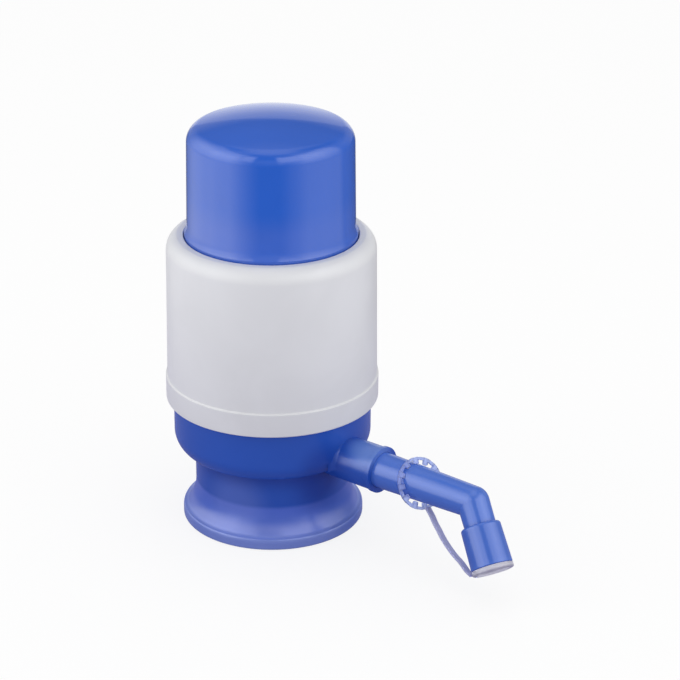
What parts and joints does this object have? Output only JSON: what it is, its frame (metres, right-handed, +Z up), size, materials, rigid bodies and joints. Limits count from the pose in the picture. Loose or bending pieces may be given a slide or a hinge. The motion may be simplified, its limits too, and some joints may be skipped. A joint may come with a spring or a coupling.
{
  "type": "water jug hand pump",
  "caption": "Manual bellows pump for a large water bottle: a press cap squeezes a bellows, and air pushes the water out of the swivelling side spout.",
  "frame": {"origin": "on the pump axis, in the plane that the foot collar stands on, which is the mouth of the collar's bore", "axes": "+Z up along the pump axis, towards the press cap; +X along the socket, where the spout leaves; +Y completes the right-handed frame"},
  "size_m": [0.1739, 0.09, 0.1789],
  "materials": {
    "blue_plastic": "smooth moulded polypropylene, semi-gloss",
    "white_plastic": "smooth moulded plastic with a satin gloss",
    "inner_plastic": "natural white moulded plastic",
    "bellows_film": "blow-moulded milky polyethylene",
    "rubber": "black moulded rubber",
    "silicone": "translucent moulded silicone",
    "steel": "stainless steel",
    "soft_clear": "translucent soft polyethylene"
  },
  "bodies": {
    "pump": {"base_body": "blue_plastic", "bottle_seal": "rubber", "deck_gasket": "rubber", "valve_deck": "inner_plastic", "outlet_valve": "silicone", "bellows_retaining_ring": "inner_plastic", "deck_screws": "steel", "bellows": "bellows_film", "return_spring": "steel", "pump_housing": "white_plastic"},
    "cap": {"push_cap": "blue_plastic", "bellows_top_plate": "inner_plastic", "inlet_valve": "silicone"},
    "grip": {"grip_ring": "inner_plastic"},
    "collar": {"clamp_collar": "blue_plastic"},
    "spout": {"spout": "blue_plastic", "spout_o_ring": "rubber", "nozzle_tip": "blue_plastic", "tether_ring": "soft_clear", "tether_strap": "soft_clear"},
    "dust": {"spout_cap": "soft_clear"}
  },
  "joints": [
    {"name": "cap_press", "type": "slide", "parent": "pump", "child": "cap", "axis": [0, 0, -1], "range_m": [0, 0.03], "stiffness_N_per_m": 300, "springref_m": -0.0133, "deforming": ["bellows", "return_spring"]},
    {"name": "grip_slide", "type": "slide", "parent": "pump", "child": "grip", "axis": [0, 0, -1], "range_m": [0, 0.002]},
    {"name": "collar_turn", "type": "hinge", "parent": "grip", "child": "collar", "pos_m": [0, 0, 0], "axis": [0, 0, -1], "range_deg": [0, 180]},
    {"name": "spout_swivel", "type": "hinge", "parent": "pump", "child": "spout", "pos_m": [0.0592, 0, 0.037], "axis": [1, 0, 0], "continuous": true},
    {"name": "dust_cap_pull", "type": "slide", "parent": "spout", "child": "dust", "axis": [0.5664, -0.2819, -0.7744], "range_m": [0, 0.009], "deforming": ["tether_strap"]}
  ],
  "couplings": [
    {"joint": "grip_slide", "follows": "collar_turn", "m_per_rad": 0.00063}
  ]
}
